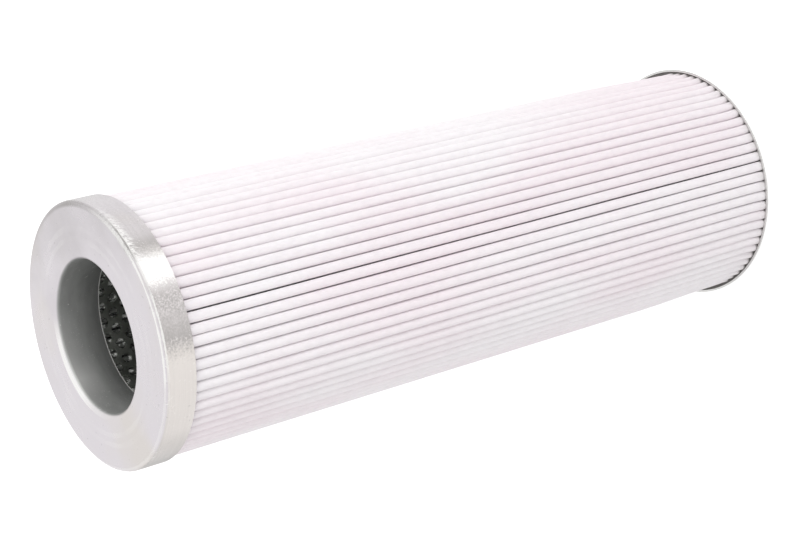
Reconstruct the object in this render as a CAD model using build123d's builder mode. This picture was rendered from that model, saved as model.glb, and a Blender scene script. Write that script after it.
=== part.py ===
from build123d import *
from math import acos, atan2, degrees
import os

# Pleated hydraulic filter element, standing on its closed end cap.
# The origin is the centre of the closed cap's outer face, and +Z runs along the axis to the open cap.
# All sizes are millimetres.

os.makedirs("parts", exist_ok=True)

# ---------------------------------------------------------------- driving dimensions
element_length = 291.0        # over both caps
cap_radius = 49.0
bend_flats = 3                # a quarter bend of the sheet is drawn as this many flats

cap_sheet = 0.9               # open cap
skirt_height = 12.0
rim_bend = 1.6
bore_radius = 28.0            # inside of the drawn collar
collar_depth = 18.0
shoulder_bend = 2.25
land_radius = 39.2            # foot of the raised land round the bore
land_slope = 3.7
land_height = 0.2

foot_sheet = 0.6              # closed cap
lip_bend = 1.6                # its lip is no more than this bend
lip_inside_flats = 2

tube_sheet = 0.8              # perforated core
tube_clearance = 0.15         # round the collar
hole_diameter = 4.0
hole_sides = 6
holes_round = 5
hole_rows = 5
hole_row_pitch = 52.0

pleat_count = 72
pleat_tip_radius = 47.8
media_thickness = 1.1
crest_round = 1.85            # outside of a fold's crest
crest_flats = 6
fold_flats = 2
media_clearance = 0.1         # between the core and the inner folds

top_adhesive_depth = 2.1
bottom_adhesive_depth = 0.4

# ---------------------------------------------------------------- worked out from them
skirt_bore_radius = cap_radius - cap_sheet
collar_radius = bore_radius + cap_sheet
tube_bore_radius = collar_radius + tube_clearance
tube_radius = tube_bore_radius + tube_sheet
tube_top = element_length - shoulder_bend - tube_clearance
cap_underside = element_length - land_height - cap_sheet
media_top = cap_underside - top_adhesive_depth
media_bottom = foot_sheet + bottom_adhesive_depth


def arc_points(centre, radius, start_angle, turn, flats):
    """Points round part of a circle, which is drawn as a few flats."""
    spokes = [start_angle + turn * i / flats for i in range(flats + 1)]
    return [Vector(*centre) + Vector(radius, 0).rotate(Axis.Z, spoke) for spoke in spokes]


# ---------------------------------------------------------------- open end cap
# One pressed sheet, turned down outside as a skirt round the pleats and drawn down inside as a
# collar that slides over a spigot in the filter housing. A low land stands round the bore.
with BuildPart() as top_end_cap:
    face_height = element_length - land_height
    rim_centre = (cap_radius - rim_bend, face_height - rim_bend)
    shoulder_centre = (bore_radius + shoulder_bend, element_length - shoulder_bend)
    with BuildSketch(Plane.XZ):
        with BuildLine():
            Polyline(
                (cap_radius, element_length - skirt_height),
                *arc_points(rim_centre, rim_bend, 0, 90, bend_flats),
                (land_radius, face_height),
                (land_radius - land_slope, element_length),
                *arc_points(shoulder_centre, shoulder_bend, 90, 90, bend_flats),
                (bore_radius, element_length - collar_depth),
                (collar_radius, element_length - collar_depth),
                (collar_radius, cap_underside - cap_sheet),
                (collar_radius + cap_sheet, cap_underside),
                (skirt_bore_radius - cap_sheet, cap_underside),
                (skirt_bore_radius, cap_underside - cap_sheet),
                (skirt_bore_radius, element_length - skirt_height),
                close=True,
            )
        make_face()
    revolve(axis=Axis.Z)
top_end_cap.part.label = "top_end_cap"
export_step(top_end_cap.part, "parts/top_end_cap.step")


# ---------------------------------------------------------------- closed end cap
# A thin pressed disc, turned up at its edge by no more than a bend, so the pleats stay in sight down
# to their feet.
with BuildPart() as bottom_end_cap:
    lip_centre = (cap_radius - lip_bend, lip_bend)
    with BuildSketch(Plane.XZ):
        with BuildLine():
            Polyline(
                (0, 0),
                *arc_points(lip_centre, lip_bend, -90, 90, bend_flats),
                *arc_points(lip_centre, lip_bend - foot_sheet, 0, -90, lip_inside_flats),
                (0, foot_sheet),
                close=True,
            )
        make_face()
    revolve(axis=Axis.Z)
bottom_end_cap.part.label = "bottom_end_cap"
export_step(bottom_end_cap.part, "parts/bottom_end_cap.step")


# ---------------------------------------------------------------- perforated core
# A tube of perforated sheet, which holds the pleats up against the flow. The collar slides into it.
# Every second row of holes is turned by half a pitch. The pattern is an open one.
with BuildPart() as support_tube:
    with BuildSketch(Plane.XY.offset(foot_sheet)):
        Circle(tube_radius)
        Circle(tube_bore_radius, mode=Mode.SUBTRACT)
    extrude(amount=tube_top - foot_sheet)

    hole_planes = []
    for row in range(hole_rows):
        height = element_length / 2 + (row - (hole_rows - 1) / 2) * hole_row_pitch
        for hole in range(holes_round):
            outwards = Vector(1, 0).rotate(Axis.Z, (hole + row % 2 / 2) * 360 / holes_round)
            hole_planes.append(Plane((0, 0, height), x_dir=(0, 0, 1), z_dir=outwards))
    with BuildSketch(*hole_planes):
        RegularPolygon(hole_diameter / 2, hole_sides)
    extrude(amount=2 * tube_radius, mode=Mode.SUBTRACT)
support_tube.part.label = "support_tube"
export_step(support_tube.part, "parts/support_tube.step")


# ---------------------------------------------------------------- pleated medium
# One sheet folded into a closed ring of pleats. Each crest bends about a centre near the tip radius,
# and each inner fold about a centre near the core, half a pitch round. Both faces of a flank leave
# their bends at the same angle, so the sheet has one thickness, and it closes up at the inner folds.
# The ring starts half a pitch round, so that a gap lies on each axis.
with BuildPart() as pleated_media:
    pitch = 360 / pleat_count
    crest_centre = Vector(pleat_tip_radius - crest_round, 0)
    fold_centre = Vector(tube_radius + media_clearance + media_thickness, 0).rotate(Axis.Z, pitch / 2)
    to_fold = fold_centre - crest_centre
    flank_angle = degrees(atan2(to_fold.Y, to_fold.X) - acos(crest_round / to_fold.length))

    crest = arc_points(crest_centre, crest_round, -flank_angle, 2 * flank_angle, crest_flats)
    crest_inside = arc_points(
        crest_centre, crest_round - media_thickness, -flank_angle, 2 * flank_angle, 1
    )
    inner_fold = arc_points(
        fold_centre, media_thickness, flank_angle - 180, pitch - 2 * flank_angle, fold_flats
    )
    with BuildSketch(Plane.XY.offset(media_bottom)):
        for one_pleat, kind in (
            ([*crest, fold_centre], Mode.ADD),
            ([*crest_inside, *inner_fold], Mode.SUBTRACT),
        ):
            with BuildLine():
                Polyline(
                    *[
                        point.rotate(Axis.Z, (pleat + 0.5) * pitch)
                        for pleat in range(pleat_count)
                        for point in one_pleat
                    ],
                    close=True,
                )
            make_face(mode=kind)
    extrude(amount=media_top - media_bottom)
pleated_media.part.label = "pleated_media"
export_step(pleated_media.part, "parts/pleated_media.step")


# ---------------------------------------------------------------- adhesive
# A bed of cured adhesive fills each cap between the core and the outer wall, and the ends of the
# pleats stand in it. It takes the form of the cap's corner.
for name, corner in (
    (
        "top_adhesive",
        (
            (skirt_bore_radius, media_top),
            (skirt_bore_radius, cap_underside - cap_sheet),
            (skirt_bore_radius - cap_sheet, cap_underside),
        ),
    ),
    (
        "bottom_adhesive",
        (
            (skirt_bore_radius, media_bottom),
            (cap_radius - lip_bend, foot_sheet),
        ),
    ),
):
    with BuildPart() as bed:
        with BuildSketch(Plane.XZ):
            with BuildLine():
                Polyline(
                    (tube_radius, corner[0][1]),
                    *corner,
                    (tube_radius, corner[-1][1]),
                    close=True,
                )
            make_face()
        revolve(axis=Axis.Z)
    bed.part.label = name
    export_step(bed.part, f"parts/{name}.step")
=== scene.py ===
from math import cos, pi, radians, sin

import bmesh
import bpy
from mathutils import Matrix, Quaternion, Vector


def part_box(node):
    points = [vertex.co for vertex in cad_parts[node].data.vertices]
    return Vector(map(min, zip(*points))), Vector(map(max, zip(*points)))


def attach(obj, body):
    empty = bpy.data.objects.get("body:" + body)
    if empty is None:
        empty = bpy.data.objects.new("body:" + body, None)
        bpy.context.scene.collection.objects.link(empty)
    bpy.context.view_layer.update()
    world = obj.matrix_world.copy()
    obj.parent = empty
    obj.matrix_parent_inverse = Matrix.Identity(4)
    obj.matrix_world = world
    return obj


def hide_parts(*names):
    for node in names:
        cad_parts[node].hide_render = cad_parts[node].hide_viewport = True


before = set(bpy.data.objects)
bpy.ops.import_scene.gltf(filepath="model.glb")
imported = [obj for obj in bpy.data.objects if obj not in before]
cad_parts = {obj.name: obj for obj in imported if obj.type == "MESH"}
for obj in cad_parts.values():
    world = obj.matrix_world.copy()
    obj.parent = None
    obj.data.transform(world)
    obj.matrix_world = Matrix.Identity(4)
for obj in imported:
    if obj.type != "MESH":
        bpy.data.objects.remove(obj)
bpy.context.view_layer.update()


# ------------------------------------------------------------------------------- closed end cap
# The foot of the element: a shallow dish pressed from sheet steel and zinc plated. Its low lip
# stands round the feet of the pleats, which are bonded into it.

MM = 0.001


def node_in(tree, kind, **settings):
    """One node of a tree, with its properties set."""
    made = tree.nodes.new(kind)
    for label, value in settings.items():
        setattr(made, label, value)
    return made


def feed(tree, socket, value):
    """Joins an output to a socket, or sets the socket to a plain value."""
    if isinstance(value, bpy.types.NodeSocket):
        tree.links.new(value, socket)
    elif value is not None:
        socket.default_value = value


def sums(tree, operation, *values, clamp=False):
    """A Math node on sockets or numbers, and its result."""
    step = node_in(tree, "ShaderNodeMath", operation=operation, use_clamp=clamp)
    for socket, value in zip(step.inputs, values):
        feed(tree, socket, value)
    return step.outputs[0]


def remap(tree, value, low, high, to_low, to_high, easing="SMOOTHSTEP"):
    """A Map Range node, clamped, and its result."""
    step = node_in(tree, "ShaderNodeMapRange", interpolation_type=easing, clamp=True)
    for socket, amount in zip(step.inputs, (value, low, high, to_low, to_high)):
        feed(tree, socket, amount)
    return step.outputs[0]


def noise(tree, place, scale, detail=3.0, roughness=0.55, stretch=None):
    """A noise value between 0 and 1, on a place that may be stretched along each axis."""
    if stretch is not None:
        pull = node_in(tree, "ShaderNodeVectorMath", operation="MULTIPLY")
        feed(tree, pull.inputs[0], place)
        feed(tree, pull.inputs[1], stretch)
        place = pull.outputs[0]
    grains = node_in(tree, "ShaderNodeTexNoise")
    feed(tree, grains.inputs["Vector"], place)
    for label, amount in (("Scale", scale), ("Detail", detail), ("Roughness", roughness)):
        feed(tree, grains.inputs[label], amount)
    return grains.outputs[0]


def new_group(name, kind, inputs, outputs):
    """A node group with named inputs and outputs, and its two end nodes."""
    tree = bpy.data.node_groups.new(name, kind)
    for label, socket_type, value in inputs:
        socket = tree.interface.new_socket(label, in_out="INPUT", socket_type=socket_type)
        if value is not None:
            socket.default_value = value
    for label, socket_type in outputs:
        tree.interface.new_socket(label, in_out="OUTPUT", socket_type=socket_type)
    return tree, tree.nodes.new("NodeGroupInput"), tree.nodes.new("NodeGroupOutput")


def turned_place(tree, place):
    """The same place as (angle round the axis, radius, height), for marks that run round a piece."""
    axes = node_in(tree, "ShaderNodeSeparateXYZ")
    feed(tree, axes.inputs[0], place)
    angle = sums(tree, "ARCTAN2", axes.outputs[1], axes.outputs[0])
    squares = [sums(tree, "MULTIPLY", axes.outputs[i], axes.outputs[i]) for i in (0, 1)]
    radius = sums(tree, "SQRT", sums(tree, "ADD", *squares))
    return angle, radius, axes.outputs[2]


def sheet_steel_marks():
    """What forming and handling leave on sheet steel: drawing lines, scratches, clouds and specks."""
    tree, start, end = new_group(
        "sheet_steel_marks",
        "ShaderNodeTree",
        (
            ("Place", "NodeSocketVector", None),
            ("Line depth", "NodeSocketFloat", 1.0),
            ("Scratch amount", "NodeSocketFloat", 0.5),
            ("Speck amount", "NodeSocketFloat", 0.5),
        ),
        (
            ("Clouds", "NodeSocketFloat"),
            ("Lines", "NodeSocketFloat"),
            ("Scratches", "NodeSocketFloat"),
            ("Specks", "NodeSocketFloat"),
            ("Height", "NodeSocketFloat"),
        ),
    )
    place = start.outputs["Place"]
    angle, radius, height = turned_place(tree, place)
    round_axis = node_in(tree, "ShaderNodeCombineXYZ")
    feed(tree, round_axis.inputs[0], sums(tree, "MULTIPLY", angle, 0.0012))
    feed(tree, round_axis.inputs[1], radius)
    feed(tree, round_axis.inputs[2], height)
    feed(tree, end.inputs["Clouds"], noise(tree, place, 42.0, detail=4.0, roughness=0.6))
    lines = noise(tree, round_axis.outputs[0], 2400.0, detail=2.0)
    feed(tree, end.inputs["Lines"], lines)

    scratches = 0.0
    for turn in (0.4, 1.3, 2.5):
        tilt = node_in(tree, "ShaderNodeVectorRotate", rotation_type="EULER_XYZ")
        feed(tree, tilt.inputs["Vector"], place)
        tilt.inputs["Rotation"].default_value = (turn, turn * 1.7, turn * 0.6)
        streak = noise(tree, tilt.outputs[0], 150.0, detail=1.0, stretch=(1.0, 18.0, 12.0))
        patches = noise(tree, tilt.outputs[0], 60.0, detail=1.0)
        thin = remap(tree, streak, 0.70, 0.76, 0.0, 1.0)
        kept = remap(tree, patches, 0.5, 0.62, 0.0, 1.0)
        scratches = sums(tree, "MAXIMUM", scratches, sums(tree, "MULTIPLY", thin, kept))
    scratches = sums(tree, "MULTIPLY", scratches, start.outputs["Scratch amount"])
    feed(tree, end.inputs["Scratches"], scratches)

    pits = remap(tree, noise(tree, place, 700.0, detail=1.0), 0.73, 0.78, 0.0, 1.0)
    specks = sums(tree, "MULTIPLY", pits, start.outputs["Speck amount"])
    feed(tree, end.inputs["Specks"], specks)

    relief = sums(tree, "MULTIPLY", lines, start.outputs["Line depth"])
    relief = sums(tree, "SUBTRACT", relief, sums(tree, "MULTIPLY", scratches, 0.25))
    feed(tree, end.inputs["Height"], sums(tree, "SUBTRACT", relief, sums(tree, "MULTIPLY", specks, 0.2)))
    return tree


steel_marks = sheet_steel_marks()


def edge_band_marks():
    """A broken band round the axis, at a radius and a height, used for rubbed wear, for painted highlight
    lines and for dull notches along pressed edges.
    """
    tree, start, end = new_group(
        "edge_band_marks",
        "ShaderNodeTree",
        (
            ("Place", "NodeSocketVector", None),
            ("Edge radius", "NodeSocketFloat", 0.049),
            ("Edge height", "NodeSocketFloat", 0.0),
            ("Width", "NodeSocketFloat", 0.001),
            ("Breaks", "NodeSocketFloat", 0.5),
        ),
        (("Band", "NodeSocketFloat"),),
    )
    value = start.outputs
    angle, radius, height = turned_place(tree, value["Place"])
    across = sums(tree, "SUBTRACT", radius, value["Edge radius"])
    up = sums(tree, "SUBTRACT", height, value["Edge height"])
    squares = sums(tree, "ADD", sums(tree, "MULTIPLY", across, across), sums(tree, "MULTIPLY", up, up))
    rubbed_and_lit = noise(tree, value["Place"], 160.0, detail=3.0, roughness=0.65)
    reach = sums(tree, "MULTIPLY", value["Width"], remap(tree, rubbed_and_lit, 0.3, 0.7, 0.35, 1.4, "LINEAR"))
    band = remap(tree, sums(tree, "DIVIDE", sums(tree, "SQRT", squares), reach), 0.55, 1.0, 1.0, 0.0)
    missing = remap(tree, noise(tree, value["Place"], 48.0, detail=2.0), 0.42, 0.56, 0.0, 1.0)
    kept = sums(tree, "SUBTRACT", 1.0, sums(tree, "MULTIPLY", missing, value["Breaks"]))
    feed(tree, end.inputs["Band"], sums(tree, "MULTIPLY", band, kept))
    return tree


edge_band_group = edge_band_marks()


def place_in(tree):
    """The Object coordinates of the piece that a material is on."""
    return node_in(tree, "ShaderNodeTexCoord").outputs["Object"]


def blend_colour(tree, share, first, second):
    """A mix of two colours, by a value between 0 and 1."""
    mixing = node_in(tree, "ShaderNodeMix", data_type="RGBA")
    feed(tree, mixing.inputs[0], share)
    feed(tree, mixing.inputs[6], first)
    feed(tree, mixing.inputs[7], second)
    return mixing.outputs[2]


def bump(tree, height, depth, strength=1.0):
    """The normal that a height gives, where a full step is that deep, in metres."""
    relief = node_in(tree, "ShaderNodeBump")
    relief.inputs["Strength"].default_value = strength
    relief.inputs["Distance"].default_value = depth
    feed(tree, relief.inputs["Height"], height)
    return relief.outputs[0]


def by_angle(tree, angle, back, stops):
    """A value that changes round a piece, from (degrees, value) pairs and the value at the back."""
    ramp = node_in(tree, "ShaderNodeValToRGB")
    feed(tree, ramp.inputs[0], remap(tree, angle, -pi, pi, 0.0, 1.0, "LINEAR"))
    marks = ramp.color_ramp.elements
    for mark in marks:
        mark.color = (back, back, back, 1)
    for degrees, value in stops:
        marks.new(degrees / 360 + 0.5).color = (value, value, value, 1)
    return ramp.outputs[0]


def product(tree, *values):
    """The product of several sockets or numbers."""
    result = values[0]
    for value in values[1:]:
        result = sums(tree, "MULTIPLY", result, value)
    return result


open_low, open_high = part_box("top_end_cap")
closed_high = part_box("bottom_end_cap")[1]
element_top = open_high[2]
collar_foot = open_low[2]
cap_radius = max(open_high[0], open_high[1])
bore_radius = 28 * MM
land_edge = 35.5 * MM
land_foot = 39.2 * MM
lip_height = closed_high[2]

lilac_zinc = (0.72, 0.685, 0.715, 1)
clean_and_sheen_zinc = (0.71, 0.71, 0.695, 1)
straw_zinc = (0.70, 0.66, 0.615, 1)
bright_zinc = (0.95, 0.945, 0.925, 1)
dull_and_shaded_zinc = (0.33, 0.315, 0.305, 1)
streaked_grey = ((0.22, 0.225, 0.215, 1), (0.46, 0.465, 0.46, 1))
shaded_grey = (0.06, 0.06, 0.058, 1)
cut_edge_and_glint = (1.0, 0.99, 0.96, 1)


def face_tint_and_side_shade(tree, place, angle, marks, outer_wall):
    """The plating's own colour: lilac and straw patches and straw on the skirt, with painted shade that
    makes the face darker towards +X.
    """
    stained = by_angle(tree, angle, 0.6, (
        (-150, 0.7), (-104, 0.8), (-98, 0.4), (-60, 0.3), (-35, 0.0), (90, 0.2),
    ))
    tint = remap(tree, noise(tree, place, 26.0, detail=2.0), 0.46, 0.72, 0.0, 0.7)
    tint = sums(tree, "MAXIMUM", tint, product(tree, stained, outer_wall))
    colour = blend_colour(tree, tint, lilac_zinc, straw_zinc)
    sides = node_in(tree, "ShaderNodeSeparateXYZ")
    feed(tree, sides.inputs[0], place)
    # Painted shade: the face is darker towards +X, with a ragged edge.
    drift = product(tree, sums(tree, "SUBTRACT", marks.outputs["Clouds"], 0.5), 0.06)
    painted_side_shade = remap(tree, sums(tree, "ADD", sides.outputs[0], drift), 0.01, 0.06, 0.0, 0.36)
    painted_side_shade = product(tree, painted_side_shade, sums(tree, "SUBTRACT", 1.0, outer_wall))
    return blend_colour(tree, painted_side_shade, colour, dull_and_shaded_zinc)


def skirt_painted_reflection(tree, angle, ragged, grainy, marks):
    """Painted reflection on the satin skirt: how dark it is painted on its way round, in broad bands, with
    fine lines and grain.
    """
    # Painted reflection: darker and lighter bands round the skirt.
    reflection_bands = by_angle(tree, ragged, 0.35, (
        (-168, 0.95), (-160, 0.62), (-155, 0.45), (-150, 0.36), (-140, 0.06), (-108, 0.0), (-103, 0.3),
        (-99, 0.74), (-88, 0.46), (-81, 0.58), (-76, 0.3), (-72, 0.0), (-68, 0.0), (-64, 0.4),
        (-58, 0.74), (-53, 0.42), (-48, 0.36), (-36, 0.36), (-24, 0.36), (-8, 0.8), (4, 0.55), (60, 0.25),
    ))
    # Painted sparkle: the grain is stronger where the painted highlight falls.
    sparkle = by_angle(tree, angle, 0.1, ((-104, 0.1), (-96, 1.1), (-78, 2.2), (-66, 0.5), (-30, 0.4)))
    streaked = product(tree, remap(tree, marks.outputs["Lines"], 0.35, 0.65, -1.0, 1.0), 0.035)
    streaked = sums(tree, "ADD", streaked, product(tree, grainy, sparkle))
    return sums(tree, "ADD", reflection_bands, streaked, clamp=True)


def collar_grey(tree, angle, height):
    """The thin grey plating of the collar, streaked round the bore, with painted shade that darkens it
    towards its foot and a painted sheen near its top on one side.
    """
    drawn = node_in(tree, "ShaderNodeCombineXYZ")
    feed(tree, drawn.inputs[0], sums(tree, "MULTIPLY", angle, bore_radius * 0.4))
    feed(tree, drawn.inputs[1], height)
    streaks = noise(tree, drawn.outputs[0], 190.0, detail=4.0, roughness=0.6)
    grey = blend_colour(tree, streaks, *streaked_grey)
    # Painted shade: darker down the bore towards the collar's foot.
    painted_bore_shade = remap(tree, height, collar_foot, collar_foot + 9 * MM, 0.42, 0.0)
    grey = blend_colour(tree, painted_bore_shade, grey, shaded_grey)
    # Painted sheen: lighter near the top of the bore on one side.
    painted_sheen = by_angle(tree, angle, 0.1, ((55, 0.1), (95, 0.45), (118, 0.95), (136, 0.4), (155, 0.15)))
    upper = remap(tree, height, element_top - 13 * MM, element_top - 2.5 * MM, 0.0, 1.0, "LINEAR")
    return blend_colour(tree, product(tree, painted_sheen, upper), grey, clean_and_sheen_zinc)


def ring_band(tree, place, edge_radius, edge_height, width, breaks):
    """A broken band on one ring of a cap, for edge wear, painted highlight lines and notches."""
    rubbed_and_lit = node_in(tree, "ShaderNodeGroup", node_tree=edge_band_group)
    feed(tree, rubbed_and_lit.inputs["Place"], place)
    for label, amount in (
        ("Edge radius", edge_radius),
        ("Edge height", edge_height),
        ("Width", width),
        ("Breaks", breaks),
    ):
        rubbed_and_lit.inputs[label].default_value = amount
    return rubbed_and_lit.outputs["Band"]


def worn_and_highlit_edges(tree, place, angle, radius, on_open_cap):
    """Edges made bright: a painted highlight crescent on one side of the bore's shoulder, rubbed wear with
    painted highlight lines on one side of the rim, rubbed wear on the land, and a bright band along the
    lip's top edge.
    """
    # Rubbed wear with painted highlight lines on the rim, strongest on one side.
    rim_wear_and_highlight = by_angle(tree, angle, 0.25, (
        (-125, 0.3), (-112, 0.9), (-66, 1.0), (-58, 0.7), (-34, 0.5), (-24, 0.0), (30, 0.0),
    ))
    # Painted highlight: a bright crescent on the bore's shoulder, on one side.
    shoulder_highlight = by_angle(tree, angle, 0.0, ((68, 0.0), (88, 0.9), (130, 1.0), (148, 0.35), (176, 0.0)))
    off_shoulder = sums(tree, "ABSOLUTE", sums(tree, "SUBTRACT", radius, bore_radius + 1.15 * MM))
    on_shoulder = remap(tree, off_shoulder, 0.5 * MM, 1.1 * MM, 1.0, 0.0)
    wear_and_highlight = product(tree, shoulder_highlight, on_open_cap, on_shoulder)
    for edge_radius, edge_height, width, breaks, share in (
        (cap_radius - 1.15 * MM, element_top - 0.25 * MM, 0.65 * MM, 0.05, rim_wear_and_highlight),
        (cap_radius - 0.1 * MM, element_top - 1.2 * MM, 0.5 * MM, 0.7, rim_wear_and_highlight),
        (land_edge, element_top, 1.2 * MM, 0.8, 0.14),
        (land_foot, element_top - 0.2 * MM, 1.3 * MM, 0.8, 0.14),
        (cap_radius - 0.9 * MM, lip_height, 0.3 * MM, 0.0, 0.7),
    ):
        rubbed_and_lit = ring_band(tree, place, edge_radius, edge_height, width, breaks)
        wear_and_highlight = sums(tree, "MAXIMUM", wear_and_highlight, product(tree, rubbed_and_lit, share))
    return wear_and_highlight


def rim_scores(tree, angle, radius, height, ragged, on_rim):
    """Fine scores aslant across the rim on one side, thickest at its upper edge."""
    unrolled = node_in(tree, "ShaderNodeCombineXYZ")
    feed(tree, unrolled.inputs[0], sums(tree, "MULTIPLY", angle, radius))
    feed(tree, unrolled.inputs[1], height)
    slanted = node_in(tree, "ShaderNodeVectorRotate", rotation_type="Z_AXIS")
    feed(tree, slanted.inputs["Vector"], unrolled.outputs[0])
    slanted.inputs["Angle"].default_value = radians(35)
    scoring = noise(tree, slanted.outputs[0], 2200.0, detail=4.0, roughness=0.7, stretch=(1.0, 0.16, 1.0))
    scored_side = by_angle(tree, ragged, 0.0, ((-66, 0.0), (-60, 1.0), (-46, 0.9), (-36, 0.4), (-26, 0.0)))
    near_rim = remap(tree, height, element_top - 7.5 * MM, element_top - 0.8 * MM, 0.0, 1.0)
    scored = remap(tree, sums(tree, "ADD", scoring, product(tree, near_rim, 0.2)), 0.60, 0.72, 0.0, 1.0)
    strength = remap(tree, near_rim, 0.3, 0.95, 0.3, 0.85)
    return product(tree, scored, strength, scored_side, on_rim)


def zinc_plate():
    """Zinc over pressed sheet: a pale, slightly warm metal, with painted shade, painted reflection bands
    and painted highlights, and rubbed at its edges.
    """
    finish = bpy.data.materials.new("zinc_plate")
    finish.use_nodes = True
    tree = finish.node_tree
    metal = tree.nodes["Principled BSDF"]
    place = place_in(tree)
    angle, radius, height = turned_place(tree, place)
    marks = node_in(tree, "ShaderNodeGroup", node_tree=steel_marks)
    feed(tree, marks.inputs["Place"], place)
    marks.inputs["Line depth"].default_value = 0.2
    marks.inputs["Scratch amount"].default_value = 0.7
    marks.inputs["Speck amount"].default_value = 0.3

    # The parts of the two caps that have a finish of their own, and the side of the rim that takes painted
    # shade.
    outer_wall = remap(tree, radius, cap_radius - 0.5 * MM, cap_radius - 0.1 * MM, 0.0, 1.0)
    on_rim = remap(tree, radius, cap_radius - 2.6 * MM, cap_radius - 1.4 * MM, 0.0, 1.0)
    # Painted shade: the rim is darkened on one side.
    shaded_rim_side = by_angle(tree, angle, 0.0, ((-66, 0.0), (-58, 1.0), (10, 1.0), (40, 0.0)))
    at_foot = remap(tree, height, 3 * MM, 6 * MM, 1.0, 0.0)
    on_open_cap = sums(tree, "SUBTRACT", 1.0, at_foot)
    in_collar = remap(tree, radius, bore_radius + 0.1 * MM, bore_radius + 0.7 * MM, 1.0, 0.0)
    in_collar = product(tree, in_collar, on_open_cap)
    grainy = sums(tree, "SUBTRACT", noise(tree, place, 1500.0, detail=2.0, roughness=0.7), 0.5)
    raggedness = by_angle(tree, angle, 0.1, ((-104, 0.3), (-74, 0.3), (-68, 0.1)))
    ragged = sums(tree, "ADD", angle, product(tree, grainy, raggedness))

    # The face, then the skirt, with painted reflection on its way round: dark painted bands, then a bright
    # painted highlight patch.
    colour = face_tint_and_side_shade(tree, place, angle, marks, outer_wall)
    # Painted reflection: the skirt, and the rim on one side, darkened in bands round the cap.
    on_skirt = sums(tree, "MAXIMUM", outer_wall, product(tree, on_rim, shaded_rim_side))
    painted_reflection_shade = product(tree, skirt_painted_reflection(tree, angle, ragged, grainy, marks), on_skirt, on_open_cap)
    colour = blend_colour(tree, painted_reflection_shade, colour, dull_and_shaded_zinc)
    # Painted highlight: a bright patch on the skirt on one side.
    painted_highlight_patch = by_angle(tree, ragged, 0.0, ((-78, 0.0), (-74, 0.9), (-66, 0.9), (-62, 0.1), (-59, 0.0)))
    colour = blend_colour(tree, product(tree, painted_highlight_patch, outer_wall, 0.8), colour, bright_zinc)
    colour = blend_colour(tree, at_foot, colour, clean_and_sheen_zinc)

    # The collar, with the bare cut edge at its foot, painted as a near-white, non-metallic line that stands
    # in for its glint.
    colour = blend_colour(tree, in_collar, colour, collar_grey(tree, angle, height))
    above_foot = sums(tree, "SUBTRACT", height, collar_foot)
    collar_edge_and_glint = product(tree, in_collar, remap(tree, above_foot, 0.25 * MM, 0.5 * MM, 0.9, 0.0))
    colour = blend_colour(tree, collar_edge_and_glint, colour, cut_edge_and_glint)

    # Edge wear and painted highlights, scores and the dull notches beside them, then scratches and specks
    # all over.
    scored = rim_scores(tree, angle, radius, height, ragged, on_rim)
    wear_and_highlight = sums(tree, "MAXIMUM", worn_and_highlit_edges(tree, place, angle, radius, on_open_cap), scored)
    colour = blend_colour(tree, sums(tree, "MULTIPLY", wear_and_highlight, 0.9), colour, bright_zinc)
    notched_side = by_angle(tree, ragged, 0.0, ((-66, 0.0), (-62, 0.8), (-48, 0.7), (-42, 0.2), (-30, 0.0)))
    notch = ring_band(tree, place, cap_radius - 0.2 * MM, element_top - 0.9 * MM, 0.4 * MM, 0.6)
    colour = blend_colour(tree, product(tree, notch, notched_side), colour, dull_and_shaded_zinc)
    colour = blend_colour(tree, product(tree, marks.outputs["Scratches"], 0.7), colour, bright_zinc)
    colour = blend_colour(tree, marks.outputs["Specks"], colour, dull_and_shaded_zinc)
    feed(tree, metal.inputs["Base Color"], colour)

    shine = remap(tree, in_collar, 0, 1, 1.0, 0.45, "LINEAR")
    feed(tree, metal.inputs["Metallic"], product(tree, shine, sums(tree, "SUBTRACT", 1.0, collar_edge_and_glint)))
    rough = remap(tree, marks.outputs["Clouds"], 0.3, 0.7, 0.26, 0.36)
    rough = sums(tree, "ADD", rough, product(tree, in_collar, 0.22))
    feed(tree, metal.inputs["Roughness"], sums(tree, "SUBTRACT", rough, product(tree, wear_and_highlight, 0.1)))
    relief = sums(tree, "SUBTRACT", marks.outputs["Height"], product(tree, scored, 0.5))
    feed(tree, metal.inputs["Normal"], bump(tree, relief, 0.05 * MM))
    return finish


zinc = zinc_plate()


bend_steps = 8


def bend(centre, radius, start, turn):
    """Points round a bend of a section, as (radius, height) pairs. Angles are in degrees."""
    spokes = [radians(start + turn * i / bend_steps) for i in range(bend_steps + 1)]
    return [(centre[0] + radius * cos(a), centre[1] + radius * sin(a)) for a in spokes]


def sheet_section(path, thickness):
    """A closed section: a path along one face of a sheet, and back along the other face."""
    other_face = []
    for i, (r, z) in enumerate(path):
        before, after = path[max(i - 1, 0)], path[min(i + 1, len(path) - 1)]
        along_in = Vector((r - before[0], z - before[1])).normalized()
        along_out = Vector((after[0] - r, after[1] - z)).normalized()
        along = (along_in + along_out).normalized()
        reach = thickness / max(along.dot(along_in), along.dot(along_out))
        other_face.append((r - along.y * reach, z + along.x * reach))
    return path + other_face[::-1]


weld = 0.001 * MM
turn_steps = 240


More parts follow.
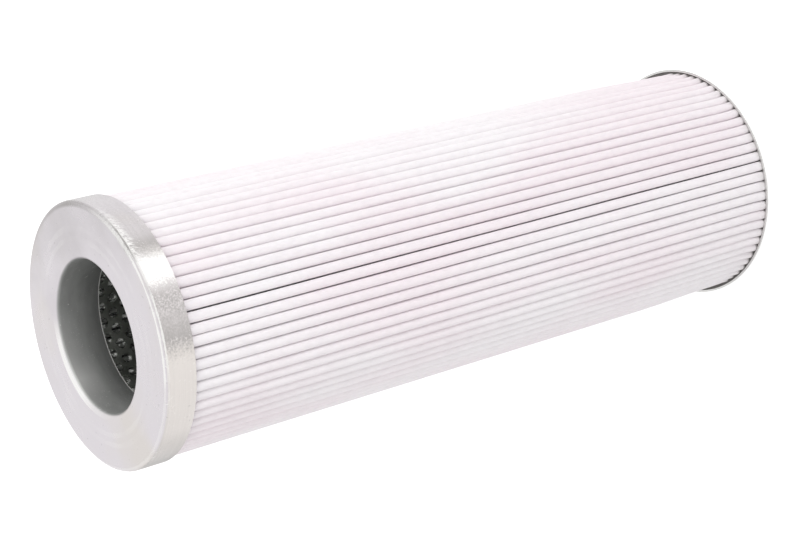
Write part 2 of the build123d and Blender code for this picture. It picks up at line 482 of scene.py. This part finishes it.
def turned_piece(name, section, edge_round):
    """A solid of revolution about +Z, with its sharp edges eased."""
    shape = bmesh.new()
    points = [shape.verts.new((r, 0, z)) for r, z in section]
    for i, point in enumerate(points):
        along_axis = section[i][0] < weld and section[i - 1][0] < weld
        if not along_axis:
            shape.edges.new((points[i - 1], point))
    bmesh.ops.spin(
        shape,
        geom=shape.verts[:] + shape.edges[:],
        cent=(0, 0, 0),
        axis=(0, 0, 1),
        angle=2 * pi,
        steps=turn_steps,
        use_merge=True,
    )
    bmesh.ops.remove_doubles(shape, verts=shape.verts, dist=weld)
    bmesh.ops.dissolve_degenerate(shape, edges=shape.edges, dist=weld)
    bmesh.ops.recalc_face_normals(shape, faces=shape.faces)
    mesh = bpy.data.meshes.new(name)
    shape.to_mesh(mesh)
    shape.free()
    mesh.shade_smooth()
    piece = bpy.data.objects.new(name, mesh)
    bpy.context.scene.collection.objects.link(piece)
    ease = piece.modifiers.new("eased_edges", "BEVEL")
    ease.width = edge_round
    ease.segments = 2
    ease.limit_method = "ANGLE"
    ease.angle_limit = radians(50)
    ease.harden_normals = True
    return piece


foot_sheet = 0.6 * MM
lip_sheet = 0.9 * MM
lip_bend = lip_height
lip_inside = cap_radius - lip_sheet
dish_middle = 30 * MM

closed_section = bend((cap_radius - lip_bend, lip_bend), lip_bend, 0, -90)
closed_section += [
    (dish_middle, 0),
    (0, 0),
    (0, foot_sheet),
    (dish_middle, foot_sheet),
    (cap_radius - lip_bend, foot_sheet),
    (lip_inside - 0.3 * MM, foot_sheet + 0.2 * MM),
    (lip_inside, foot_sheet + 0.5 * MM),
    (lip_inside, lip_height),
]
closed_cap = turned_piece("closed_cap", closed_section, 0.1 * MM)
closed_cap.data.materials.append(zinc)
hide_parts("bottom_end_cap")
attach(closed_cap, "root")


# ------------------------------------------------------------------------------- open end cap
# The pressed cap at the head: skirt, face and drawn collar in one zinc-plated sheet. A low land
# stands round the bore, and the collar takes the spigot of the filter housing.

cap_sheet = 0.9 * MM
skirt_height = 12 * MM
rim_bend = 1.6 * MM
shoulder_bend = 2.25 * MM
land_height = 0.2 * MM
face_height = element_top - land_height

open_path = [(cap_radius, element_top - skirt_height), (cap_radius, element_top - skirt_height / 2)]
open_path += bend((cap_radius - rim_bend, face_height - rim_bend), rim_bend, 0, 90)
open_path += [
    (land_foot + 1.2 * MM, face_height),
    (land_foot, element_top - land_height * 0.9),
    (land_edge + 0.9 * MM, element_top - land_height * 0.12),
    (land_edge, element_top),
]
open_path += bend((bore_radius + shoulder_bend, element_top - shoulder_bend), shoulder_bend, 90, 90)
open_path += [(bore_radius, element_top - 10 * MM), (bore_radius, collar_foot)]
open_cap = turned_piece("open_cap", sheet_section(open_path, cap_sheet), 0.12 * MM)
open_cap.data.materials.append(zinc)
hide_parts("top_end_cap")
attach(open_cap, "root")


# ------------------------------------------------------------------------------- perforated core
# A tube of perforated sheet steel that holds the pleats up against the flow. Round 4 mm holes in
# staggered rows go all over it, 31 to a row.

def raw_steel():
    """Bare, oiled sheet steel, nearly black inside the element, with brighter worn spots."""
    finish = bpy.data.materials.new("raw_steel")
    finish.use_nodes = True
    tree = finish.node_tree
    metal = tree.nodes["Principled BSDF"]
    marks = node_in(tree, "ShaderNodeGroup", node_tree=steel_marks)
    feed(tree, marks.inputs["Place"], place_in(tree))
    marks.inputs["Line depth"].default_value = 0.2
    marks.inputs["Scratch amount"].default_value = 0.5
    marks.inputs["Speck amount"].default_value = 0.3
    dark = (0.46, 0.48, 0.445, 1)
    worn = (0.64, 0.65, 0.61, 1)
    colour = blend_colour(tree, remap(tree, marks.outputs["Clouds"], 0.4, 0.75, 0.0, 0.5), dark, worn)
    colour = blend_colour(tree, marks.outputs["Scratches"], colour, worn)
    feed(tree, metal.inputs["Base Color"], colour)
    metal.inputs["Metallic"].default_value = 1.0
    feed(tree, metal.inputs["Roughness"], remap(tree, marks.outputs["Clouds"], 0.3, 0.7, 0.36, 0.5))
    feed(tree, metal.inputs["Normal"], bump(tree, marks.outputs["Height"], 0.02 * MM))
    return finish


def cut_steel():
    """The punched walls of the holes, where the cut is brighter than the sheet's skin."""
    finish = bpy.data.materials.new("cut_steel")
    finish.use_nodes = True
    tree = finish.node_tree
    metal = tree.nodes["Principled BSDF"]
    burnish = noise(tree, place_in(tree), 700.0, detail=2.0)
    colour = blend_colour(tree, burnish, (0.5, 0.5, 0.47, 1), (0.92, 0.91, 0.87, 1))
    feed(tree, metal.inputs["Base Color"], colour)
    metal.inputs["Metallic"].default_value = 1.0
    feed(tree, metal.inputs["Roughness"], remap(tree, burnish, 0.3, 0.7, 0.2, 0.4))
    return finish


def grown_sheet(name, tree, sizes, materials, thickness, **rim):
    """A sheet that a Geometry Nodes tree makes with the sizes given by name, as a plain mesh."""
    seed_mesh = bpy.data.meshes.new(name + "_seed")
    grower = bpy.data.objects.new(name + "_grower", seed_mesh)
    bpy.context.scene.collection.objects.link(grower)
    growth = grower.modifiers.new("growth", "NODES")
    growth.node_group = tree
    for socket in tree.interface.items_tree:
        if socket.item_type == "SOCKET" and socket.in_out == "INPUT" and socket.name in sizes:
            growth[socket.identifier] = sizes[socket.name]
    wall = grower.modifiers.new("wall", "SOLIDIFY")
    wall.thickness = thickness
    wall.offset = 0.0
    for label, value in rim.items():
        setattr(wall, label, value)
    grown = grower.evaluated_get(bpy.context.evaluated_depsgraph_get())
    mesh = bpy.data.meshes.new_from_object(grown)
    mesh.name = name
    bpy.data.objects.remove(grower)
    mesh.materials.clear()
    for material in materials:
        mesh.materials.append(material)
    piece = bpy.data.objects.new(name, mesh)
    bpy.context.scene.collection.objects.link(piece)
    return piece


def round_axis_place(tree, radius, angle, height=0.0):
    """A place given by its distance from the axis, its angle round it and its height."""
    place = node_in(tree, "ShaderNodeCombineXYZ")
    feed(tree, place.inputs[0], sums(tree, "MULTIPLY", radius, sums(tree, "COSINE", angle)))
    feed(tree, place.inputs[1], sums(tree, "MULTIPLY", radius, sums(tree, "SINE", angle)))
    feed(tree, place.inputs[2], height)
    return place.outputs[0]


def real_and_painted(tree, geometry, material, end):
    """The end of a Geometry Nodes tree: its instances made real, and its material set."""
    real = node_in(tree, "GeometryNodeRealizeInstances")
    feed(tree, real.inputs["Geometry"], geometry)
    painted = node_in(tree, "GeometryNodeSetMaterial")
    feed(tree, painted.inputs["Geometry"], real.outputs[0])
    feed(tree, painted.inputs["Material"], material)
    feed(tree, end.inputs[0], painted.outputs[0])


def perforated_tube_tree():
    """Punched cells side by side in staggered rows, rolled up into a tube."""
    tree, start, end = new_group(
        "perforated_tube",
        "GeometryNodeTree",
        (
            ("Radius", "NodeSocketFloat", 0.03),
            ("Foot", "NodeSocketFloat", 0.0),
            ("Length", "NodeSocketFloat", 0.28),
            ("Holes round", "NodeSocketInt", 31),
            ("Rows", "NodeSocketInt", 60),
            ("Hole radius", "NodeSocketFloat", 0.002),
            ("Hole sides", "NodeSocketInt", 14),
            ("Material", "NodeSocketMaterial", None),
        ),
        (("Geometry", "NodeSocketGeometry"),),
    )
    value = start.outputs
    girth = sums(tree, "MULTIPLY", value["Radius"], 2 * pi)
    pitch = sums(tree, "DIVIDE", girth, value["Holes round"])
    row_height = sums(tree, "DIVIDE", value["Length"], value["Rows"])

    cell_edge = node_in(tree, "GeometryNodeCurvePrimitiveQuadrilateral", mode="RECTANGLE")
    feed(tree, cell_edge.inputs["Width"], pitch)
    feed(tree, cell_edge.inputs["Height"], row_height)
    halved = node_in(tree, "GeometryNodeSubdivideCurve")
    feed(tree, halved.inputs["Curve"], cell_edge.outputs[0])
    feed(tree, halved.inputs["Cuts"], 1)
    hole = node_in(tree, "GeometryNodeCurvePrimitiveCircle", mode="RADIUS")
    feed(tree, hole.inputs["Resolution"], value["Hole sides"])
    feed(tree, hole.inputs["Radius"], value["Hole radius"])
    outlines = node_in(tree, "GeometryNodeJoinGeometry")
    feed(tree, outlines.inputs[0], halved.outputs[0])
    feed(tree, outlines.inputs[0], hole.outputs[0])
    cell = node_in(tree, "GeometryNodeFillCurve", mode="TRIANGLES")
    feed(tree, cell.inputs["Curve"], outlines.outputs[0])

    grid = node_in(tree, "GeometryNodeMeshGrid")
    last_column = sums(tree, "SUBTRACT", value["Holes round"], 1)
    last_row = sums(tree, "SUBTRACT", value["Rows"], 1)
    feed(tree, grid.inputs["Size X"], sums(tree, "MULTIPLY", pitch, last_column))
    feed(tree, grid.inputs["Size Y"], sums(tree, "MULTIPLY", row_height, last_row))
    feed(tree, grid.inputs["Vertices X"], value["Holes round"])
    feed(tree, grid.inputs["Vertices Y"], value["Rows"])
    row = sums(tree, "MODULO", node_in(tree, "GeometryNodeInputIndex").outputs[0], value["Rows"])
    odd = sums(tree, "MODULO", row, 2)
    shift = node_in(tree, "ShaderNodeCombineXYZ")
    feed(tree, shift.inputs[0], product(tree, odd, 0.5, pitch))
    staggered = node_in(tree, "GeometryNodeSetPosition")
    feed(tree, staggered.inputs["Geometry"], grid.outputs["Mesh"])
    feed(tree, staggered.inputs["Offset"], shift.outputs[0])
    cells = node_in(tree, "GeometryNodeInstanceOnPoints")
    feed(tree, cells.inputs["Points"], staggered.outputs[0])
    feed(tree, cells.inputs["Instance"], cell.outputs[0])
    sheet = node_in(tree, "GeometryNodeRealizeInstances")
    feed(tree, sheet.inputs[0], cells.outputs[0])

    # The flat sheet is rolled up, and its cells are welded to their neighbours.
    axes = node_in(tree, "ShaderNodeSeparateXYZ")
    feed(tree, axes.inputs[0], node_in(tree, "GeometryNodeInputPosition").outputs[0])
    angle = sums(tree, "DIVIDE", axes.outputs[0], value["Radius"])
    middle = sums(tree, "ADD", value["Foot"], sums(tree, "MULTIPLY", value["Length"], 0.5))
    height = sums(tree, "ADD", axes.outputs[1], middle)
    rolled = node_in(tree, "GeometryNodeSetPosition")
    feed(tree, rolled.inputs["Geometry"], sheet.outputs[0])
    feed(tree, rolled.inputs["Position"], round_axis_place(tree, value["Radius"], angle, height))
    joined = node_in(tree, "GeometryNodeMergeByDistance")
    feed(tree, joined.inputs["Geometry"], rolled.outputs[0])
    feed(tree, joined.inputs["Distance"], 0.02 * MM)
    real_and_painted(tree, joined.outputs[0], value["Material"], end)
    return tree


tube_low, tube_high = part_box("support_tube")
tube_sheet = 0.8 * MM
core_steel = raw_steel()
core = grown_sheet(
    "core_tube",
    perforated_tube_tree(),
    {
        "Radius": tube_high[0] - tube_sheet / 2,
        "Foot": tube_low[2],
        "Length": tube_high[2] - tube_low[2],
        "Holes round": 31,
        "Rows": 60,
        "Hole radius": 2.0 * MM,
        "Hole sides": 14,
        "Material": core_steel,
    },
    [core_steel, cut_steel()],
    tube_sheet,
    material_offset_rim=1,
)
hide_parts("support_tube")
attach(core, "root")


# ------------------------------------------------------------------------------- pleated medium
# One sheet of off-white nonwoven filter medium, folded into 72 pleats and closed into a ring. The
# folds were set by hand into the caps, so no two are quite alike, and they draw in at the foot.

def filter_fleece():
    """Soft spun fibre, off-white with a faint pink cast, a little uneven in tone, and painted dark with
    painted glints on the inner folds.
    """
    finish = bpy.data.materials.new("filter_fleece")
    finish.use_nodes = True
    tree = finish.node_tree
    cloth = tree.nodes["Principled BSDF"]
    place = place_in(tree)
    pink = (0.92, 0.85, 0.882, 1)
    white = (0.93, 0.90, 0.918, 1)
    _, radius, height = turned_place(tree, place)
    tone = remap(tree, noise(tree, place, 30.0, detail=2.0, stretch=(1, 1, 0.35)), 0.35, 0.65, 0.0, 1.0)
    colour = blend_colour(tree, tone, white, pink)
    fibres = noise(tree, place, 1500.0, detail=3.0, roughness=0.7)
    felt = noise(tree, place, 420.0, detail=3.0, roughness=0.6, stretch=(1, 1, 0.5))
    thin = remap(tree, felt, 0.35, 0.6, 0.10, 0.0)
    colour = blend_colour(tree, thin, colour, (0.62, 0.56, 0.60, 1))

    # The fleece is darker for a few millimetres up the feet of the pleats, further in some than in others.
    darker_at_foot = sums(tree, "ADD", height, product(tree, sums(tree, "SUBTRACT", felt, 0.5), 8 * MM))
    darker_at_foot = remap(tree, darker_at_foot, 1.5 * MM, 4.5 * MM, 0.2, 0.0)
    colour = blend_colour(tree, darker_at_foot, colour, (0.55, 0.52, 0.48, 1))

    # The inner folds are painted dark as painted shade inside the core, with painted glints, and are seen
    # only through the core's holes.
    shaded_inner_folds = remap(tree, radius, 31.6 * MM, 33.0 * MM, 1.0, 0.0)
    painted_glints = remap(tree, noise(tree, place, 480.0, detail=2.0), 0.50, 0.62, 0.0, 0.9)
    painted_core_shade = blend_colour(tree, painted_glints, (0.13, 0.135, 0.125, 1), (0.97, 0.98, 0.95, 1))
    colour = blend_colour(tree, shaded_inner_folds, colour, painted_core_shade)
    feed(tree, cloth.inputs["Base Color"], colour)
    cloth.inputs["Roughness"].default_value = 0.85
    relief = sums(tree, "ADD", fibres, felt)
    feed(tree, cloth.inputs["Normal"], bump(tree, relief, 0.12 * MM, 0.8))
    return finish


def rounded_zigzag(tree, value, pitch):
    """The line of the folds round the ring, with two corners to a pleat at its tip and two at its root."""
    ring = node_in(tree, "GeometryNodeCurvePrimitiveCircle", mode="RADIUS")
    feed(tree, ring.inputs["Resolution"], sums(tree, "MULTIPLY", value["Pleats"], 4))
    index = node_in(tree, "GeometryNodeInputIndex").outputs[0]
    pleat = sums(tree, "FLOOR", sums(tree, "DIVIDE", index, 4))
    corner_number = sums(tree, "MODULO", index, 4)
    at_root = sums(tree, "GREATER_THAN", corner_number, 1.5)
    side = sums(tree, "SUBTRACT", sums(tree, "MULTIPLY", sums(tree, "MODULO", index, 2), 2), 1)

    def by_end(tip, root):
        return remap(tree, at_root, 0, 1, tip, root, "LINEAR")

    radius = by_end(value["Tip radius"], value["Root radius"])
    half_width = by_end(value["Tip half width"], value["Root half width"])
    turn = product(tree, sums(tree, "ADD", pleat, by_end(0.5, 1.0)), pitch)
    turn = sums(tree, "ADD", turn, product(tree, side, sums(tree, "DIVIDE", half_width, radius)))
    zigzag = node_in(tree, "GeometryNodeSetPosition")
    feed(tree, zigzag.inputs["Geometry"], ring.outputs[0])
    feed(tree, zigzag.inputs["Position"], round_axis_place(tree, radius, turn))
    numbered = node_in(tree, "GeometryNodeStoreNamedAttribute", data_type="FLOAT", domain="POINT")
    feed(tree, numbered.inputs["Geometry"], zigzag.outputs[0])
    feed(tree, numbered.inputs["Name"], "pleat")
    feed(tree, numbered.inputs["Value"], pleat)
    folds = node_in(tree, "GeometryNodeFilletCurve", mode="POLY")
    feed(tree, folds.inputs["Curve"], numbered.outputs[0])
    feed(tree, folds.inputs["Count"], 4)
    feed(tree, folds.inputs["Radius"], sums(tree, "MULTIPLY", half_width, 0.9))
    feed(tree, folds.inputs["Limit Radius"], True)
    return folds.outputs[0]


def crowded_levels(tree, value):
    """A line up the axis, with its points crowded towards the foot, where the pleats draw in."""
    crowding = 1.7
    axis_line = node_in(tree, "GeometryNodeCurvePrimitiveLine")
    axis_line.inputs["End"].default_value = (0, 0, 1)
    levels = node_in(tree, "GeometryNodeResampleCurve", mode="COUNT")
    feed(tree, levels.inputs["Curve"], axis_line.outputs[0])
    feed(tree, levels.inputs["Count"], value["Levels"])
    along = node_in(tree, "ShaderNodeSeparateXYZ")
    feed(tree, along.inputs[0], node_in(tree, "GeometryNodeInputPosition").outputs[0])
    rise = sums(tree, "POWER", along.outputs[2], crowding)
    rise = product(tree, rise, sums(tree, "SUBTRACT", value["Head"], value["Foot"]))
    level_place = node_in(tree, "ShaderNodeCombineXYZ")
    feed(tree, level_place.inputs[2], sums(tree, "ADD", rise, value["Foot"]))
    spaced = node_in(tree, "GeometryNodeSetPosition")
    feed(tree, spaced.inputs["Geometry"], levels.outputs[0])
    feed(tree, spaced.inputs["Position"], level_place.outputs[0])
    return spaced.outputs[0]


def uneven_place(tree, value, pitch):
    """Where each point of the sheet comes to lie. Unevenness grows from the core out to the tips."""
    angle, reach, height = turned_place(tree, node_in(tree, "GeometryNodeInputPosition").outputs[0])
    number = node_in(tree, "GeometryNodeInputNamedAttribute", data_type="FLOAT")
    number.inputs["Name"].default_value = "pleat"
    pleat = number.outputs["Attribute"]
    looseness = remap(tree, reach, value["Root radius"], value["Tip radius"], 0, 1, "LINEAR")
    above_foot = sums(tree, "SUBTRACT", height, value["Foot"])

    def chance(offset):
        draw = node_in(tree, "FunctionNodeRandomValue", data_type="FLOAT")
        draw.inputs[2].default_value = -1.0
        draw.inputs[3].default_value = 1.0
        feed(tree, draw.inputs["ID"], pleat)
        feed(tree, draw.inputs["Seed"], sums(tree, "ADD", value["Seed"], offset))
        return draw.outputs[1]

    # Each pleat sways aside on its own way up, and stands a little further out or in.
    wander_place = node_in(tree, "ShaderNodeCombineXYZ")
    feed(tree, wander_place.inputs[0], sums(tree, "MULTIPLY", pleat, 3.7))
    feed(tree, wander_place.inputs[1], sums(tree, "MULTIPLY", height, 9.0))
    feed(tree, wander_place.inputs[2], value["Seed"])
    wander = noise(tree, wander_place.outputs[0], 1.0, detail=1.0)
    wander = product(tree, sums(tree, "SUBTRACT", wander, 0.5), 3.5)
    sideways = sums(tree, "ADD", product(tree, chance(1), 0.6), wander)
    sideways = product(tree, sideways, value["Sway"], looseness)
    outwards = product(tree, chance(2), value["Stagger"], looseness)

    # The folds lie apart at one place on the ring, most of all near the head, and closer beyond it.
    parting_reach = sums(tree, "MULTIPLY", pitch, 3.0)
    middle = product(tree, sums(tree, "ADD", pleat, 0.5), pitch)
    beyond = sums(tree, "WRAP", sums(tree, "SUBTRACT", middle, value["Parting angle"]), pi, -pi)
    pushed = sums(tree, "TANH", sums(tree, "DIVIDE", beyond, parting_reach))
    fading = sums(tree, "EXPONENT", product(tree, sums(tree, "ABSOLUTE", beyond), -1.2))
    opening = remap(tree, height, 0.0, 220 * MM, 0.62, 1.0)
    pushed = product(tree, pushed, fading, value["Parting"], opening, looseness)
    sideways = sums(tree, "ADD", sideways, pushed)

    # The pleats draw in at the foot, and the ring leans a little to one side.
    leaning = product(tree, value["Lean"], sums(tree, "SINE", angle))
    drawn_in = product(tree, sums(tree, "ADD", value["Taper"], leaning), looseness)
    drawn_in = product(tree, drawn_in, remap(tree, above_foot, 0.0, 45 * MM, 1.0, 0.0))
    new_reach = sums(tree, "SUBTRACT", sums(tree, "ADD", reach, outwards), drawn_in)

    # On the side that it leans to, the feet of the pleats press flat against the cap's lip.
    press_height = 6 * MM
    leaning_side = sums(tree, "MULTIPLY", sums(tree, "SINE", angle), -1.0, clamp=True)
    press = product(tree, value["Press"], leaning_side, looseness)
    press = product(tree, press, remap(tree, above_foot, 0.0, press_height, 1.0, 0.0))
    lip_reach = remap(tree, above_foot, 0.0, press_height, value["Press limit"], value["Tip radius"])
    pressed = sums(tree, "MINIMUM", sums(tree, "ADD", new_reach, press), lip_reach)
    new_reach = sums(tree, "MAXIMUM", new_reach, pressed)

    aside = sums(tree, "WRAP", sums(tree, "SUBTRACT", angle, middle), pi, -pi)
    new_angle = sums(tree, "ADD", sums(tree, "ADD", middle, aside), sums(tree, "DIVIDE", sideways, reach))
    return round_axis_place(tree, new_reach, new_angle, height)


def pleated_ring_tree():
    """A closed zigzag of rounded folds, drawn along the element's axis and made a little uneven."""
    tree, start, end = new_group(
        "pleated_ring",
        "GeometryNodeTree",
        (
            ("Pleats", "NodeSocketInt", 72),
            ("Tip radius", "NodeSocketFloat", 0.0472),
            ("Root radius", "NodeSocketFloat", 0.0307),
            ("Tip half width", "NodeSocketFloat", 0.0014),
            ("Root half width", "NodeSocketFloat", 0.0006),
            ("Foot", "NodeSocketFloat", 0.0),
            ("Head", "NodeSocketFloat", 0.28),
            ("Levels", "NodeSocketInt", 28),
            ("Sway", "NodeSocketFloat", 0.00015),
            ("Stagger", "NodeSocketFloat", 0.0002),
            ("Taper", "NodeSocketFloat", 0.001),
            ("Lean", "NodeSocketFloat", 0.001),
            ("Parting", "NodeSocketFloat", 0.0008),
            ("Parting angle", "NodeSocketFloat", 0.0),
            ("Press", "NodeSocketFloat", 0.0008),
            ("Press limit", "NodeSocketFloat", 0.0475),
            ("Seed", "NodeSocketInt", 7),
            ("Material", "NodeSocketMaterial", None),
        ),
        (("Geometry", "NodeSocketGeometry"),),
    )
    value = start.outputs
    pitch = sums(tree, "DIVIDE", 2 * pi, value["Pleats"])
    wall = node_in(tree, "GeometryNodeCurveToMesh")
    feed(tree, wall.inputs["Curve"], crowded_levels(tree, value))
    feed(tree, wall.inputs["Profile Curve"], rounded_zigzag(tree, value, pitch))
    uneven = node_in(tree, "GeometryNodeSetPosition")
    feed(tree, uneven.inputs["Geometry"], wall.outputs[0])
    feed(tree, uneven.inputs["Position"], uneven_place(tree, value, pitch))
    smooth = node_in(tree, "GeometryNodeSetShadeSmooth")
    feed(tree, smooth.inputs["Geometry"], uneven.outputs[0])
    real_and_painted(tree, smooth.outputs[0], value["Material"], end)
    return tree


pack_low, pack_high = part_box("pleated_media")
media_sheet = 1.1 * MM
pleat_count = 72
tip_radius = pack_high[0] / cos(pi / pleat_count)
fleece = filter_fleece()
pleats = grown_sheet(
    "pleated_pack",
    pleated_ring_tree(),
    {
        "Pleats": pleat_count,
        "Tip radius": tip_radius - media_sheet / 2,
        "Root radius": tube_high[0] + 0.1 * MM + media_sheet / 2,
        "Tip half width": 1.40 * MM,
        "Root half width": 0.6 * MM,
        "Foot": pack_low[2],
        "Head": pack_high[2],
        "Levels": 28,
        "Sway": 0.15 * MM,
        "Stagger": 0.18 * MM,
        "Taper": 1.0 * MM,
        "Lean": 1.0 * MM,
        "Parting": 0.75 * MM,
        "Parting angle": radians(-90.5),
        "Press": 0.8 * MM,
        "Press limit": cap_radius - lip_sheet - media_sheet / 2 - 0.03 * MM,
        "Seed": 7,
        "Material": fleece,
    },
    [fleece],
    media_sheet,
)
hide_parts("pleated_media")
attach(pleats, "root")


# ------------------------------------------------------------------------------- adhesive
# Cured resin that was poured into each cap as a bed for the ends of the pleats. Only a thin line of
# it can show, between the lip of the closed cap and the feet of the pleats.

def cured_resin():
    """Dull brownish-grey resin with a faintly uneven surface."""
    finish = bpy.data.materials.new("cured_resin")
    finish.use_nodes = True
    tree = finish.node_tree
    resin = tree.nodes["Principled BSDF"]
    place = place_in(tree)
    swirl = noise(tree, place, 120.0, detail=2.0)
    colour = blend_colour(tree, swirl, (0.10, 0.095, 0.09, 1), (0.16, 0.15, 0.14, 1))
    feed(tree, resin.inputs["Base Color"], colour)
    resin.inputs["Roughness"].default_value = 0.45
    feed(tree, resin.inputs["Normal"], bump(tree, noise(tree, place, 260.0), 0.1 * MM))
    return finish


resin = cured_resin()
for bed in ("top_adhesive", "bottom_adhesive"):
    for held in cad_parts[bed].material_slots:
        held.material = resin


# ------------------------------------------------------------------------------- floor and light
# A plain white floor that takes the element's shadow, under a white sky. A small lamp stands in front
# on the right, a wide soft one behind it on the right, and a weak one in front on the left.

reach = 6.0
floor_mesh = bpy.data.meshes.new("floor")
floor_mesh.from_pydata(
    [(-reach, -reach, 0), (reach, -reach, 0), (reach, reach, 0), (-reach, reach, 0)], [], [(0, 1, 2, 3)]
)
floor = bpy.data.objects.new("floor", floor_mesh)
bpy.context.scene.collection.objects.link(floor)
floor_paint = bpy.data.materials.new("floor_paint")
floor_paint.use_nodes = True
floor_tree = floor_paint.node_tree
paint = floor_tree.nodes["Principled BSDF"]
paint.inputs["Base Color"].default_value = (0.86, 0.86, 0.86, 1)
paint.inputs["Roughness"].default_value = 0.9
paint.inputs["Specular IOR Level"].default_value = 0.1
paint.inputs["Emission Color"].default_value = (1, 1, 1, 1)
rays = node_in(floor_tree, "ShaderNodeLightPath")
mirrored = sums(floor_tree, "MAXIMUM", rays.outputs["Is Glossy Ray"], rays.outputs["Is Transmission Ray"])
mirrored = sums(floor_tree, "MULTIPLY", mirrored, 0.3)
looked_at = sums(floor_tree, "MULTIPLY", rays.outputs["Is Camera Ray"], 0.5)
feed(floor_tree, paint.inputs["Emission Strength"], sums(floor_tree, "MAXIMUM", mirrored, looked_at))
floor_mesh.materials.append(floor_paint)

world = bpy.data.worlds.new("white_sky")
bpy.context.scene.world = world
world.use_nodes = True
sky_tree = world.node_tree
sky = sky_tree.nodes["Background"]
sky.inputs["Color"].default_value = (1, 1, 1, 1)
rays = node_in(sky_tree, "ShaderNodeLightPath")
seen = sums(sky_tree, "MAXIMUM", rays.outputs["Is Camera Ray"], rays.outputs["Is Glossy Ray"])
seen = sums(sky_tree, "MAXIMUM", seen, rays.outputs["Is Transmission Ray"])
feed(sky_tree, sky.inputs["Strength"], remap(sky_tree, seen, 0, 1, 0.78, 1.0, "LINEAR"))


def soft_lamp(name, place, aim, size, power):
    """A square lamp that faces a point."""
    light = bpy.data.lights.new(name, "AREA")
    light.size = size
    light.energy = power
    lamp = bpy.data.objects.new(name, light)
    lamp.location = place
    lamp.rotation_euler = (Vector(aim) - Vector(place)).to_track_quat("-Z", "Y").to_euler()
    lamp.visible_glossy = False
    bpy.context.scene.collection.objects.link(lamp)


element_middle = (0, 0, 0.15)
soft_lamp("key_lamp", (0.70, -0.96, 0.70), element_middle, 0.5, 4.0)
soft_lamp("side_lamp", (1.4, 1.1, 1.2), element_middle, 2.4, 12)
soft_lamp("fill_lamp", (-1.5, -0.8, 0.9), element_middle, 2.0, 3.0)

bpy.context.scene.view_settings.view_transform = "Standard"


# ------------------------------------------------------------------------------- camera
# A long lens looks down on the element from in front, turned well over to one side, so that the
# element lies across the view with its open cap at the left.

aim = Vector((-3.7 * MM, 0, 157 * MM))
distance = 0.772
downwards = radians(34.6)
roll = radians(-105)
view_line = Vector((0, cos(downwards), -sin(downwards)))
lens = bpy.data.cameras.new("camera")
lens.sensor_width = 36
lens.lens = 89.3
camera = bpy.data.objects.new("camera", lens)
camera.location = aim - view_line * distance
turned = view_line.to_track_quat("-Z", "Y") @ Quaternion((0, 0, 1), roll)
camera.rotation_euler = turned.to_euler()
bpy.context.scene.collection.objects.link(camera)
bpy.context.scene.camera = camera
